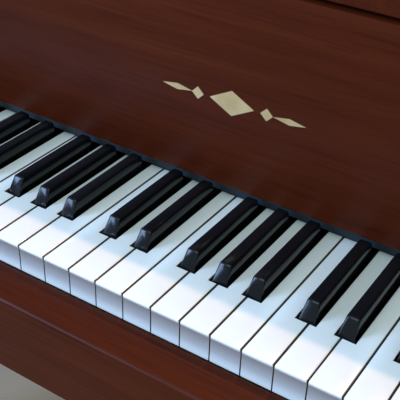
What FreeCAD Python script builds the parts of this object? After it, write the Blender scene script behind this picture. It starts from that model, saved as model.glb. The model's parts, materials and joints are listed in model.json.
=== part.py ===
"""Baby grand piano in satin mahogany, with lid, fallboard, keys, action, pedals and casters.

Millimetres. +X is the treble side, +Y runs from the player to the tail, +Z is up.
The origin is at the centre of the footprint, on the floor.
"""
import FreeCAD, Part
import math
import os

V = FreeCAD.Vector

# ---- overall -------------------------------------------------------------------------------
LENGTH = 1538.0            # front of the arms to the tail edge of the lid
WIDTH = 1500.0             # spine hinge knuckles to the treble edge of the lid
KEY_TOP = 750.0            # white key tops above the floor
LID_OVERHANG = 10.0
KEY_SETBACK = 40.0         # front of the arms to the front of the white keys

# ---- keyboard ------------------------------------------------------------------------------
WHITE_COUNT = 52
WHITE_PITCH = 23.6
KEY_GAP = 1.0
KEY_COVER_END = 150.0      # where the key tops stop, under the name rail
KEY_LENGTH = 390.0
KEY_BODY = 23.0
KEY_COVER = 3.0
KEY_LIP = 0.8
SHARP_FRONT = 48.4
SHARP_TOP_FRONT = 56.5
SHARP_END = 141.0
SHARP_HEIGHT = 12.0
SHARP_BASE = 13.2
SHARP_CREST = 9.4
SHARP_OFFSET = {1: -2.5, 3: 2.5, 6: -3.5, 8: 0.0, 10: 3.4}
BALANCE_Y = 235.0          # balance rail, behind the key fronts
FIRST_NOTE = 9             # the lowest key is an A, nine semitones above a C
NOTE_COUNT = 88
MIDDLE_OCTAVE = 4
NOTE_NAMES = ["c", "c_sharp", "d", "d_sharp", "e", "f", "f_sharp", "g", "g_sharp", "a", "a_sharp", "b"]
KEYBOARD_CLEAR = 3.5       # between the end keys and the key blocks
SHIFT_CLEAR = 3.0
FRAME_THICKNESS = 14.0     # cross rails of the key frame
FRAME_RAILS = 7
FRAME_RAIL_WIDTH = 44.0
FRAME_RAIL_INSET = 30.0    # first cross rail, from the end of the keyboard
FRONT_RAIL = (18.0, 62.0)
RAIL_RISE = 3.0            # long rails above the cross rails, and balance bead above its rail
BEAD_WIDTH = 6.0
BACK_RAIL = (45.0, 5.0)    # faces of the back rail, from the ends of the keys

# ---- case ----------------------------------------------------------------------------------
RIM_THICKNESS = 55.0
INNER_RIM_THICKNESS = 35.0
TAIL_RADIUS = 300.0
TAIL_END_ANGLE = 38.0      # where the tail arc hands over to the hollow of the bentside
SHOULDER_RADIUS = 240.0
SHOULDER_Y = 576.34         # middle of the shoulder arc, behind the key fronts
RIM_DROP = 130.0           # rim bottom below the white key tops
LID_HEIGHT = 185.0         # lid underside above the white key tops
LID_THICKNESS = 22.0
LID_GAP = 3.0
LID_FRONT = 127.0          # front edge of the lid, behind the key fronts
LID_SPLIT = 430.0          # front edge of the main lid
SPLIT_GAP = 1.0
ARM_RISE = 58.0            # arm tops above the white key tops
ARM_ROUND = 60.0
ARM_COVER = 8.0            # how far the lid front edge covers the arm's curve
KEYBED_DEPTH = 62.0        # keybed top below the white key tops
KEYBED_THICKNESS = 45.0
KEYBED_FRONT = -20.0
SLIP_TOP = 21.0
SLIP_BOTTOM = 88.0
SLIP_FRONT = -34.0
SLIP_BACK = -2.5
FIT = 0.3                  # clearance between glued or slid wooden parts
BLOCK_TOP = 7.0
BLOCK_END = 136.0

# ---- fallboard -----------------------------------------------------------------------------
FALL_EDGE_Y = 138.5
FALL_EDGE_Z = 13.5
FALL_LEAN = 3.7            # degrees toward the player
FALL_LENGTH = 168.0
FALL_THICKNESS = 20.0
FALL_ROUND = 2.0
FALL_SIDE_GAP = 2.0
FALL_PIVOT_Y = 144.0
FALL_PIVOT_Z = 36.0
PIVOT_RADIUS = 3.0
RUNNING_FIT = 0.1
PIVOT_DEPTH = 25.0
INLAY_HEIGHT = 89.5        # middle of the ornament above the white key tops
INLAY_WIDTH = 122.0
INLAY_TALL = 21.0
INLAY_THICKNESS = 0.4
NAME_RAIL_FRONT = 149.0
NAME_RAIL_DEPTH = 16.0
NAME_RAIL_BOTTOM = 1.0
NAME_RAIL_TOP = 6.5

# ---- sounding parts, heights above the white key tops ----------------------------------------
BELLY_Y = 425.0
BELLY_THICKNESS = 45.0
SOUNDBOARD_BOTTOM = 64.0
SOUNDBOARD_THICKNESS = 9.0
RIB_COUNT = 9
RIB_HEIGHT = 18.0
RIB_WIDTH = 16.0
PLATE_BOTTOM = 85.0
PLATE_THICKNESS = 12.0
PLATE_FRONT = 180.0
PLATE_WEB_END = 315.0      # back edge of the tuning pin field
PLATE_MARGIN = 70.0        # width of the hitch pin field
STRUT_WIDTH = 5.0
STRUT_TOP = 124.0
STRUT_NOTES = [45, 66]
PIN_BLOCK_THICKNESS = 33.0
PIN_BLOCK_END = 312.0
PIN_RADIUS = 3.5
PIN_TOP = 123.0
PIN_FOOT = PLATE_BOTTOM - PIN_BLOCK_THICKNESS + 8.0
PIN_ROWS = [205.0, 232.0, 259.0]
BASS_NOTES = 26
PLAIN_Z = 104.0
WOUND_Z = 114.0
PLAIN_RADIUS = 0.7
WOUND_RADIUS = 1.6
BASS_ANGLE = 6.0
TENOR_ANGLE = -20.0
TREBLE_ANGLE = 0.0
BRIDGE_WIDTH = 30.0
BRIDGE_GAP = 0.2           # between a bridge top and its strings
TENOR_BRIDGE_SHARE = 0.66  # bridge place along the string's line, at the lowest plain string
TREBLE_BRIDGE_SHARE = 0.86
BASS_BRIDGE_SHARE = 0.93
BACK_LENGTH = 60.0         # plain string behind its bridge, to the hitch rail
HITCH_RAIL = 34.0          # width of the plate's hitch rail
STRUT_CLEAR = 3.0          # strut underside above the plain strings

# ---- action ----------------------------------------------------------------------------------
HAMMER_SHANK_Z = 38.0
HAMMER_PIVOT_Y = 262.0
HAMMER_Y = 355.0
HAMMER_TOP = 59.0
HAMMER_WIDTH = 9.0
SHANK = 4.0
HAMMER_NOSE = 10.0         # height of the felt above its widest place
HAMMER_CORE = 5.0          # half depths of the head at the shank, at its widest and at its tip
HAMMER_FELT = 11.0
HAMMER_TIP = 3.0
HAMMER_RAIL = 28.0         # depth of the rail; it is half as thick
BRACKET = 12.0
BRACKET_REACH = 40.0       # bracket in front of the hammer pivots
BRACKET_SETBACK = 20.0
BRACKET_FOOT = 10.0
DAMPER_Y = 378.0
DAMPER_DEPTH = 26.0
DAMPER_WIDTH = 7.6
DAMPER_HEIGHT = 20.0
DAMPER_NOTES = 69
DAMPER_WIRE = 0.6
DAMPER_WIRE_GAP = 0.5      # between a damper wire and its string
DAMPER_RAIL_Z = 6.0
DAMPER_RAIL = 12.0

# ---- music desk ------------------------------------------------------------------------------
SHELF_BOTTOM = 126.0
SHELF_THICKNESS = 8.0
SHELF_FRONT = 172.0
SHELF_END = 300.0
DESK_WIDTH = 660.0
DESK_DEPTH = 190.0
DESK_THICKNESS = 12.0
DESK_AXIS_Y = 185.0
DESK_AXIS_Z = 150.0
DESK_RADIUS = 6.0
DESK_HINGE_LENGTH = 40.0
DESK_CLEAR = 4.0           # board edge behind the hinge barrel
DESK_HINGE_X = 250.0

# ---- lid fittings ------------------------------------------------------------------------------
HINGE_RADIUS = 5.0
HINGE_PIN = 2.5
HINGE_LENGTH = 90.0
HINGE_LEAF = 2.0
HINGE_DROP = 40.0          # leaf on the case, below the pin
HINGE_RISE = 15.0          # leaf on the lid edge
FLAP_LEAF = 25.0           # leaf on each side of the split
HINGE_SHARES = [-0.15, 0.078, 0.273]        # hinge middles along the length
FLAP_HINGE_RADIUS = 3.0
FLAP_HINGE_PIN = 1.4
FLAP_HINGE_SHARES = [-0.373, 0.0, 0.373]    # across the width
PROP_BEARING = 65.377        # degrees, where the pivot stands on the hollow of the bentside
PROP_INSET = 18.5          # pivot inside the rim's inner face
PROP_DROP = 20.0           # pivot below the rim top
PROP_TIP = (25.0, 229.0, 33.0)    # tip from the inner face, the front and the lid underside
PROP_SIZE = 16.0
PROP_HEEL = 12.0           # length of the stick behind its pin
PROP_ROUND = 0.6           # edge radius as a share of half the stick
BRACKET_RADIUS = 4.0
PROP_LEAN = 40.0           # degrees from upright, toward the spine
PROP_SWING = 66.0
LID_SWING = 26.0
CUP_RADIUS = 22.0
CUP_HEIGHT = 7.0

# ---- legs, lyre, pedals and casters --------------------------------------------------------------
LEG_TOP = 118.0
LEG_FOOT = 74.0
LEG_END = 84.0             # leg bottom above the floor
LEG_HEAD = 60.0            # height of the square head under the case
LEG_SHOULDER = 8.0
FRONT_LEG_INSET = (150.0, 209.0)   # from the side and from the front
REAR_LEG_INSET = (440.0, 319.0)    # from the spine and from the tail
BRACE_LINES = ((14.0, -0.686), (-3.0, -0.263), (-32.0, 0.0876))    # degrees, and start across the case
BRACE_HEIGHT = 70.0
BRACE_WIDTH = 60.0
WHEEL_RADIUS = 30.0
WHEEL_WIDTH = 22.0
AXLE_RADIUS = 4.0
FORK_TRAIL = 16.0
FORK_THICKNESS = 5.0
FORK_GAP = 1.5
FORK_CROWN = 8.0
FORK_CHEEK = 12.0          # half depth of the cheeks at the axle
FORK_FRONT = 18.0          # crown in front of the stem
FORK_CLEAR = 4.0           # between the wheel and the crown
FORK_TAIL = 10.0           # cheeks below the axle
COLLAR = 6.0               # collar round the stem, under the leg
COLLAR_GAP = 1.0
TYRE_ROUND = 3.0
STEM_RADIUS = 6.0
STEM_LENGTH = 40.0
LYRE_SETBACK = 169.0
LYRE_BOX = (230.0, 74.0, 60.0)
LYRE_BOX_BOTTOM = 55.0
LYRE_POST = 26.0
LYRE_POST_X = 62.0
LYRE_TOP_BLOCK = (200.0, 90.0, 30.0)
PEDAL_PITCH = 62.0
PEDAL_WIDTH = 24.0
PEDAL_TOE = 40.0
PEDAL_REACH = 105.0        # toe in front of the lyre box
PEDAL_THICKNESS = 9.0
PEDAL_AXIS_Z = 82.0
PEDAL_HEEL = 9.0           # lever behind its axle
PEDAL_NECK = 55.0          # where the toe starts to widen, behind its front
PEDAL_BALL = 25.0          # where the toe is widest
PEDAL_CORNER = 8.0
HUB_WALL = 4.0
SLOT_SIDE = 2.0            # room beside, under, over and behind a pedal in the lyre box
SLOT_UNDER = 20.0
SLOT_OVER = 12.0
SLOT_WALL = 8.0
AXLE_INSET = 10.0
ROD_RADIUS = 7.0
ROD_REACH = 255.0          # how far behind the lyre the rods meet the keybed
ROD_HEIGHT = 0.7           # shares of the lyre box's height and width where a rod starts
ROD_SPREAD = 0.36
ROD_SEAT = 20.0            # rod line above the keybed's underside at its end

# ---- worked out ------------------------------------------------------------------------------
HALF = WIDTH / 2 - LID_OVERHANG
FRONT = -LENGTH / 2
BACK = LENGTH / 2 - LID_OVERHANG
KEY_FRONT = FRONT + KEY_SETBACK
RIM_BOTTOM = KEY_TOP - RIM_DROP
LID_BOTTOM = KEY_TOP + LID_HEIGHT
LID_TOP = LID_BOTTOM + LID_THICKNESS
FRONT_LEG_X = HALF - FRONT_LEG_INSET[0]
FRONT_LEG_Y = FRONT + FRONT_LEG_INSET[1]
REAR_LEG_X = -HALF + REAR_LEG_INSET[0]
REAR_LEG_Y = BACK - REAR_LEG_INSET[1]
LYRE_Y = FRONT + LYRE_SETBACK
RIM_TOP = LID_BOTTOM - LID_GAP
INNER_HALF = HALF - RIM_THICKNESS
KEYBED_TOP = KEY_TOP - KEYBED_DEPTH
KEYBED_BOTTOM = KEYBED_TOP - KEYBED_THICKNESS
OCTAVE = 7 * WHITE_PITCH
PLAIN_GUIDES = [BASS_NOTES, 36, 46, 57, 69, NOTE_COUNT - 6]
WOUND_GUIDES = [0, 9, 17, BASS_NOTES - 1]
WHITE_STEPS = [0, None, 1, None, 2, 3, None, 4, None, 5, None, 6]
PAST = 5.0                 # how far cutting tools run past a face


def ky(y):
    """Part Y of a distance behind the white key fronts."""
    return KEY_FRONT + y


def kz(z):
    """Part Z of a height above the white key tops."""
    return KEY_TOP + z


def box(x0, x1, y0, y1, z0, z1):
    return Part.makeBox(x1 - x0, y1 - y0, z1 - z0, V(x0, y0, z0))


def prism_x(points, x0, x1):
    """A solid with a Y-Z outline, from x0 to x1."""
    wire = Part.makePolygon([V(x0, y, z) for y, z in points + points[:1]])
    return Part.Face(wire).extrude(V(x1 - x0, 0, 0))


def prism_z(points, z0, z1):
    """A solid with an X-Y outline, from z0 to z1."""
    wire = Part.makePolygon([V(x, y, z0) for x, y in points + points[:1]])
    return Part.Face(wire).extrude(V(0, 0, z1 - z0))


def cylinder(radius, start, end):
    start, end = V(*start), V(*end)
    return Part.makeCylinder(radius, (end - start).Length, start, end - start)


def fuse(shapes):
    result = shapes[0].multiFuse(shapes[1:]) if len(shapes) > 1 else shapes[0]
    return result.removeSplitter()


def save(name, *shapes):
    """Writes one node as a compound of its separate solids."""
    solids = [solid for shape in shapes for solid in shape.Solids]
    for solid in solids:
        if not solid.isValid() or solid.Volume <= 0:
            raise ValueError("bad solid in " + name)
    shape = solids[0] if len(solids) == 1 else Part.makeCompound(solids)
    shape.exportStep("parts/" + name + ".step")
    print(name, len(solids), "solids", round(shape.Volume / 1e3, 1), "cm3")


# ---- case outline ------------------------------------------------------------------------------
def polar(centre, radius, degrees):
    angle = math.radians(degrees)
    return V(centre.x + radius * math.cos(angle), centre.y + radius * math.sin(angle), 0)


def outline_centres():
    """Centres of the tail, hollow and shoulder arcs, and the hollow's radius.

    The hollow starts square to the tail arc's end, and its radius is the one that also meets the shoulder.
    """
    tail = V(-HALF + TAIL_RADIUS, BACK - TAIL_RADIUS, 0)
    shoulder = V(HALF - SHOULDER_RADIUS, ky(SHOULDER_Y), 0)
    start = polar(tail, TAIL_RADIUS, TAIL_END_ANGLE)
    away, outward = start - shoulder, polar(V(0, 0, 0), 1, TAIL_END_ANGLE)
    hollow_radius = (away.dot(away) - SHOULDER_RADIUS ** 2) / (2 * (SHOULDER_RADIUS - away.dot(outward)))
    return tail, polar(start, hollow_radius, TAIL_END_ANGLE), shoulder, hollow_radius


def case_face(inset, front):
    """The plan of the case, moved inwards by inset, from the Y value front to the tail."""
    tail, hollow, shoulder, hollow_radius = outline_centres()
    tail_r, shoulder_r = TAIL_RADIUS - inset, SHOULDER_RADIUS - inset
    hollow_r = hollow_radius + inset
    left, right = -HALF + inset, HALF - inset
    a0, a1, a2 = polar(tail, tail_r, 180), polar(tail, tail_r, 110), polar(tail, tail_r, TAIL_END_ANGLE)
    turn = math.degrees(math.atan2(hollow.y - shoulder.y, hollow.x - shoulder.x))
    b1, b2 = polar(hollow, -hollow_r, (TAIL_END_ANGLE + turn) / 2), polar(hollow, -hollow_r, turn)
    c1, c2 = polar(shoulder, shoulder_r, turn / 2), V(right, shoulder.y, 0)
    edges = [Part.LineSegment(V(left, front, 0), a0), Part.Arc(a0, a1, a2), Part.Arc(a2, b1, b2),
             Part.Arc(b2, c1, c2), Part.LineSegment(c2, V(right, front, 0)),
             Part.LineSegment(V(right, front, 0), V(left, front, 0))]
    return Part.Face(Part.Wire([edge.toShape() for edge in edges]))


def case_prism(inset, front, z0, z1):
    face = case_face(inset, front)
    face.translate(V(0, 0, z0))
    return face.extrude(V(0, 0, z1 - z0))


def make_rim():
    outer = case_prism(0, FRONT, RIM_BOTTOM, RIM_TOP)
    inner = case_prism(RIM_THICKNESS, FRONT - PAST, RIM_BOTTOM - PAST, RIM_TOP + PAST)
    arm_top = kz(ARM_RISE)
    face_y = ky(LID_FRONT) + ARM_COVER - ARM_ROUND
    low, high = V(0, face_y - ARM_ROUND, arm_top + ARM_ROUND), V(0, face_y + ARM_ROUND, RIM_TOP - ARM_ROUND)
    diagonal = ARM_ROUND / math.sqrt(2)
    start, foot = V(0, low.y, arm_top), V(0, face_y, low.z)
    knee, crest = V(0, face_y, high.z), V(0, high.y, RIM_TOP)
    above = V(0, high.y, RIM_TOP + PAST)
    ahead = V(0, FRONT - PAST, RIM_TOP + PAST)
    below = V(0, FRONT - PAST, arm_top)
    edges = [Part.LineSegment(below, start), Part.Arc(start, V(0, low.y + diagonal, low.z - diagonal), foot),
             Part.LineSegment(foot, knee), Part.Arc(knee, V(0, high.y - diagonal, high.z + diagonal), crest),
             Part.LineSegment(crest, above), Part.LineSegment(above, ahead), Part.LineSegment(ahead, below)]
    cutter = Part.Face(Part.Wire([edge.toShape() for edge in edges]))
    cutter.translate(V(-HALF - PAST, 0, 0))
    return outer.cut(inner).cut(cutter.extrude(V(2 * (HALF + PAST), 0, 0)))


def make_inner_rim():
    front = ky(BELLY_Y) + BELLY_THICKNESS + FIT
    outer = case_prism(RIM_THICKNESS, front, RIM_BOTTOM + BRACE_HEIGHT / 4, kz(SOUNDBOARD_BOTTOM))
    inner = case_prism(RIM_THICKNESS + INNER_RIM_THICKNESS, front - PAST, RIM_BOTTOM,
                       kz(SOUNDBOARD_BOTTOM) + PAST)
    return outer.cut(inner)


def make_braces():
    """The belly rail and the beams that run from it to the inner rim."""
    inset = RIM_THICKNESS + INNER_RIM_THICKNESS
    front = ky(BELLY_Y)
    belly = box(-INNER_HALF, INNER_HALF, front, front + BELLY_THICKNESS, RIM_BOTTOM, kz(SOUNDBOARD_BOTTOM))
    inside = case_prism(inset, front + BELLY_THICKNESS, RIM_BOTTOM, RIM_BOTTOM + BRACE_HEIGHT)
    beams = []
    for angle, share in BRACE_LINES:
        beam = box(-BRACE_WIDTH / 2, BRACE_WIDTH / 2, 0, 2 * LENGTH, RIM_BOTTOM, RIM_BOTTOM + BRACE_HEIGHT)
        beam.rotate(V(0, 0, 0), V(0, 0, 1), -angle)
        beam.translate(V(share * INNER_HALF, front + BELLY_THICKNESS, 0))
        beams.append(beam.common(inside))
    pad = LEG_TOP / 2 + BRACE_WIDTH / 2
    pads = box(REAR_LEG_X - pad, REAR_LEG_X + pad, REAR_LEG_Y - pad, REAR_LEG_Y + pad, RIM_BOTTOM,
               RIM_BOTTOM + BRACE_HEIGHT)
    return fuse([belly] + beams + [pads.common(inside)])


def make_key_blocks():
    inner = WHITE_COUNT * WHITE_PITCH / 2 + KEYBOARD_CLEAR
    block = box(inner, INNER_HALF, ky(SLIP_BACK + FIT), ky(BLOCK_END), KEYBED_TOP, kz(BLOCK_TOP))
    return block, block.mirror(V(0, 0, 0), V(1, 0, 0))


def make_key_slip():
    shelf = KEYBED_TOP
    points = [(ky(SLIP_FRONT), kz(-SLIP_BOTTOM)), (ky(KEYBED_FRONT), kz(-SLIP_BOTTOM)),
              (ky(KEYBED_FRONT), shelf), (ky(SLIP_BACK), shelf), (ky(SLIP_BACK), kz(-SLIP_TOP)),
              (ky(SLIP_FRONT), kz(-SLIP_TOP))]
    return prism_x(points, -INNER_HALF, INNER_HALF)


# ---- fallboard -----------------------------------------------------------------------------------
def fall_point(up, back):
    """Y and Z of a point up along the fallboard's face and back into its thickness."""
    lean = math.radians(FALL_LEAN)
    y = ky(FALL_EDGE_Y) - up * math.sin(lean) + back * math.cos(lean)
    z = kz(FALL_EDGE_Z) + up * math.cos(lean) + back * math.sin(lean)
    return y, z


def make_fallboard():
    half = INNER_HALF - FALL_SIDE_GAP
    board = prism_x([fall_point(0, 0), fall_point(FALL_LENGTH, 0), fall_point(FALL_LENGTH, FALL_THICKNESS),
                     fall_point(0, FALL_THICKNESS)], -half, half)
    low = [edge for edge in board.Edges
           if all(abs(v.Y - fall_point(0, 0)[0]) < 0.01 and abs(v.Z - fall_point(0, 0)[1]) < 0.01
                  for v in edge.Vertexes)]
    board = board.makeFillet(FALL_ROUND, low)
    bore = PIVOT_RADIUS + RUNNING_FIT
    y, z = ky(FALL_PIVOT_Y), kz(FALL_PIVOT_Z)
    for side in (-1, 1):
        board = board.cut(cylinder(bore, (side * (half - PIVOT_DEPTH), y, z), (side * (half + PAST), y, z)))
    return board


def make_inlay():
    """A plain lozenge ornament: one long lozenge, two small ones and two fine bars."""
    middle = (INLAY_HEIGHT - FALL_EDGE_Z) / math.cos(math.radians(FALL_LEAN))

    def lozenge(x, half_width, half_height):
        corners = [(x - half_width, 0), (x, half_height), (x + half_width, 0), (x, -half_height)]
        points = []
        for px, up in corners:
            y, z = fall_point(middle + up, 0)
            points.append(V(px, y, z))
        lean = math.radians(FALL_LEAN)
        out = V(0, -math.cos(lean), -math.sin(lean)) * INLAY_THICKNESS
        return Part.Face(Part.makePolygon(points + points[:1])).extrude(out)

    half = INLAY_WIDTH / 2
    small = INLAY_TALL / 4
    pieces = [lozenge(0, INLAY_TALL * 0.9, INLAY_TALL / 2)]
    for side in (-1, 1):
        pieces.append(lozenge(side * (INLAY_TALL * 0.9 + 2 * small), small, small))
        pieces.append(lozenge(side * (half - small * 2.5), small * 2.5, small / 2))
    return pieces


def make_cover_pivots():
    """Fallboard pivot pins, and the lugs and pins of the music desk hinges."""
    y, z = ky(FALL_PIVOT_Y), kz(FALL_PIVOT_Z)
    reach = INNER_HALF - FALL_SIDE_GAP - PIVOT_DEPTH + 1
    pieces = [cylinder(PIVOT_RADIUS, (side * reach, y, z), (side * INNER_HALF, y, z)) for side in (-1, 1)]
    for centre in (-DESK_HINGE_X, DESK_HINGE_X):
        y, z = ky(DESK_AXIS_Y), kz(DESK_AXIS_Z)
        half = DESK_HINGE_LENGTH / 2
        lugs = []
        for side in (-1, 1):
            x0 = centre + side * (half + FIT)
            x1 = x0 + side * DESK_RADIUS
            lugs.append(box(min(x0, x1), max(x0, x1), y - DESK_RADIUS, y + DESK_RADIUS,
                            kz(SHELF_BOTTOM) + SHELF_THICKNESS, z + DESK_RADIUS))
        pin = cylinder(PIVOT_RADIUS, (centre - half - DESK_RADIUS, y, z), (centre + half + DESK_RADIUS, y, z))
        pieces.append(fuse(lugs + [pin]))
    return pieces


def make_music_desk():
    y, z = ky(DESK_AXIS_Y), kz(DESK_AXIS_Z)
    half = DESK_WIDTH / 2
    low, high = z - DESK_RADIUS, z - DESK_RADIUS + DESK_THICKNESS
    board = box(-half, half, y + DESK_RADIUS + DESK_CLEAR, y + DESK_DEPTH, low, high)
    pieces = [board]
    for centre in (-DESK_HINGE_X, DESK_HINGE_X):
        x0, x1 = centre - DESK_HINGE_LENGTH / 2, centre + DESK_HINGE_LENGTH / 2
        pieces.append(cylinder(DESK_RADIUS, (x0, y, z), (x1, y, z)))
        pieces.append(box(x0, x1, y, y + DESK_RADIUS + 2 * DESK_CLEAR, low, high))
    desk = fuse(pieces)
    for centre in (-DESK_HINGE_X, DESK_HINGE_X):
        x0, x1 = centre - DESK_HINGE_LENGTH / 2, centre + DESK_HINGE_LENGTH / 2
        desk = desk.cut(cylinder(PIVOT_RADIUS + RUNNING_FIT, (x0 - PAST, y, z), (x1 + PAST, y, z)))
    return desk


# ---- keyboard --------------------------------------------------------------------------------------
def note_place(note):
    """Octave, semitone and X of the octave's left edge, for a note counted from the lowest key."""
    octave, semitone = divmod(note + FIRST_NOTE, 12)
    middle = 2 + 7 * (MIDDLE_OCTAVE - 1)
    left = (middle - WHITE_COUNT / 2) * WHITE_PITCH + (octave - MIDDLE_OCTAVE) * OCTAVE
    return octave, semitone, left


def sharp_centre(semitone):
    """X of a black key's middle, from its octave's left edge."""
    return (WHITE_STEPS[semitone - 1] + 1) * WHITE_PITCH + SHARP_OFFSET[semitone]


def tail_span(note):
    """Left and right X of a key's long back part."""
    _, semitone, left = note_place(note)
    if WHITE_STEPS[semitone] is None:
        centre = left + sharp_centre(semitone)
        half = (SHARP_BASE - KEY_GAP) / 2
        return centre - half, centre + half
    x0 = left + WHITE_STEPS[semitone] * WHITE_PITCH + KEY_GAP / 2
    x1 = x0 + WHITE_PITCH - KEY_GAP
    clear = SHARP_BASE / 2 + KEY_GAP * 0.9
    if semitone - 1 in SHARP_OFFSET and note > 0:
        x0 = left + sharp_centre(semitone - 1) + clear
    if semitone + 1 in SHARP_OFFSET and note < NOTE_COUNT - 1:
        x1 = left + sharp_centre(semitone + 1) - clear
    return x0, x1


def note_x(note):
    """Middle of a key's lever, where its string crosses the damper line."""
    return sum(tail_span(note)) / 2


def make_white_key(note):
    _, semitone, left = note_place(note)
    x0 = left + WHITE_STEPS[semitone] * WHITE_PITCH + KEY_GAP / 2
    x1 = x0 + WHITE_PITCH - KEY_GAP
    t0, t1 = tail_span(note)

    def plan(front, back):
        head = ky(SHARP_FRONT - KEY_GAP)
        points = [(x0, ky(front)), (x1, ky(front))]
        if t1 < x1 - 0.01:
            points += [(x1, head), (t1, head)]
        points += [(t1, ky(back)), (t0, ky(back))]
        if t0 > x0 + 0.01:
            points += [(t0, head), (x0, head)]
        return points

    body = prism_z(plan(KEY_LIP, KEY_LENGTH), kz(-KEY_BODY), kz(-KEY_COVER))
    cover = prism_z(plan(0, KEY_COVER_END), kz(-KEY_COVER), kz(0))
    return fuse([body, cover])


def make_black_key(note):
    _, semitone, left = note_place(note)
    centre = left + sharp_centre(semitone)
    t0, t1 = tail_span(note)
    body = box(t0, t1, ky(SHARP_FRONT), ky(KEY_LENGTH), kz(-KEY_BODY), kz(-KEY_COVER))

    def section(half, front, back, z):
        points = [V(centre - half, ky(front), z), V(centre + half, ky(front), z),
                  V(centre + half, ky(back), z), V(centre - half, ky(back), z)]
        return Part.makePolygon(points + points[:1])

    cap = Part.makeLoft([section(SHARP_BASE / 2, SHARP_FRONT, SHARP_END, kz(-KEY_COVER)),
                         section(SHARP_CREST / 2, SHARP_TOP_FRONT, SHARP_END - KEY_GAP, kz(SHARP_HEIGHT))],
                        True, True)
    return fuse([body, cap])


def key_name(note):
    octave, semitone, _ = note_place(note)
    if octave == MIDDLE_OCTAVE:
        return "key_" + NOTE_NAMES[semitone] + str(octave)
    colour = "white" if WHITE_STEPS[semitone] is not None else "black"
    return "keys_" + colour + ("_bass" if octave < MIDDLE_OCTAVE else "_treble")


def make_keys():
    nodes = {}
    for note in range(NOTE_COUNT):
        _, semitone, _ = note_place(note)
        maker = make_black_key if WHITE_STEPS[semitone] is None else make_white_key
        nodes.setdefault(key_name(note), []).append(maker(note))
    return nodes


def make_key_frame():
    half = WHITE_COUNT * WHITE_PITCH / 2
    bottom = KEYBED_TOP + FIT
    rail_top = bottom + FRAME_THICKNESS
    seat = kz(-KEY_BODY) - FIT
    wide, bead, back = FRAME_RAIL_WIDTH / 2, BEAD_WIDTH / 2, ky(KEY_LENGTH - BACK_RAIL[1])
    pieces = [box(-half, half, ky(FRONT_RAIL[0]), ky(FRONT_RAIL[1]), bottom, rail_top + RAIL_RISE),
              box(-half, half, ky(BALANCE_Y) - wide, ky(BALANCE_Y) + wide, bottom, seat - RAIL_RISE),
              box(-half, half, ky(BALANCE_Y) - bead, ky(BALANCE_Y) + bead, seat - RAIL_RISE, seat),
              box(-half, half, ky(KEY_LENGTH - BACK_RAIL[0]), back, bottom, seat)]
    first = half - FRAME_RAIL_INSET
    for index in range(FRAME_RAILS):
        x = -first + index * 2 * first / (FRAME_RAILS - 1)
        pieces.append(box(x - wide, x + wide, ky(FRONT_RAIL[0]), back, bottom, rail_top))
    return fuse(pieces)


def make_action_frame():
    """The hammer rail and the two end brackets that carry it."""
    half = WHITE_COUNT * WHITE_PITCH / 2 + SHIFT_CLEAR
    bottom = KEYBED_TOP + FIT
    rail_top = kz(HAMMER_SHANK_Z - FIT)
    front, back = ky(HAMMER_PIVOT_Y - BRACKET_REACH), ky(KEY_LENGTH - BRACKET_SETBACK)
    pieces = [box(-half, half, ky(HAMMER_PIVOT_Y - HAMMER_RAIL / 2), ky(HAMMER_PIVOT_Y + HAMMER_RAIL / 2),
                  rail_top - HAMMER_RAIL / 2, rail_top)]
    for side in (-1, 1):
        x0, x1 = sorted((side * half, side * (half + BRACKET)))
        pieces.append(box(x0, x1, front, back, bottom, rail_top))
        foot0, foot1 = sorted((side * (half - SHIFT_CLEAR), side * (half + BRACKET)))
        pieces.append(box(foot0, foot1, front, back, bottom, bottom + BRACKET_FOOT))
    return fuse(pieces)


def make_hammers():
    hammers = []
    half = HAMMER_WIDTH / 2
    low, shoulder, top = kz(HAMMER_SHANK_Z) - SHANK, kz(HAMMER_TOP - HAMMER_NOSE), kz(HAMMER_TOP)
    outline = [(ky(HAMMER_Y) - HAMMER_CORE, low), (ky(HAMMER_Y) + HAMMER_CORE, low),
               (ky(HAMMER_Y) + HAMMER_FELT, shoulder), (ky(HAMMER_Y) + HAMMER_TIP, top),
               (ky(HAMMER_Y) - HAMMER_TIP, top), (ky(HAMMER_Y) - HAMMER_FELT, shoulder)]
    for note in range(NOTE_COUNT):
        x = wire_at(note, HAMMER_Y)
        shank = box(x - SHANK / 2, x + SHANK / 2, ky(HAMMER_PIVOT_Y) - SHANK, ky(HAMMER_Y), kz(HAMMER_SHANK_Z),
                    kz(HAMMER_SHANK_Z) + SHANK)
        hammers.append(fuse([shank, prism_x(outline, x - half, x + half)]))
    return hammers


def make_dampers():
    pieces = []
    half = DAMPER_RAIL / 2
    rail = box(note_x(0) - half, note_x(DAMPER_NOTES - 1) + DAMPER_RAIL, ky(DAMPER_Y) - half,
               ky(DAMPER_Y) + half, kz(DAMPER_RAIL_Z), kz(DAMPER_RAIL_Z) + DAMPER_RAIL)
    for note in range(DAMPER_NOTES):
        level = WOUND_Z + WOUND_RADIUS if note < BASS_NOTES else PLAIN_Z + PLAIN_RADIUS
        x = wire_at(note, DAMPER_Y)
        z0 = kz(level + FIT)
        head = box(x - DAMPER_WIDTH / 2, x + DAMPER_WIDTH / 2, ky(DAMPER_Y) - DAMPER_DEPTH / 2,
                   ky(DAMPER_Y) + DAMPER_DEPTH / 2, z0, z0 + DAMPER_HEIGHT)
        head.rotate(V(x, ky(DAMPER_Y), 0), V(0, 0, 1), -math.degrees(math.atan(string_slope(note))))
        wire_x = x + string_radius(note) + DAMPER_WIRE_GAP + DAMPER_WIRE
        wire = cylinder(DAMPER_WIRE, (wire_x, ky(DAMPER_Y), kz(DAMPER_RAIL_Z) + half),
                        (wire_x, ky(DAMPER_Y), z0 + DAMPER_WIRE))
        pieces += [head, wire]
    return fuse([rail] + pieces)


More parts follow.
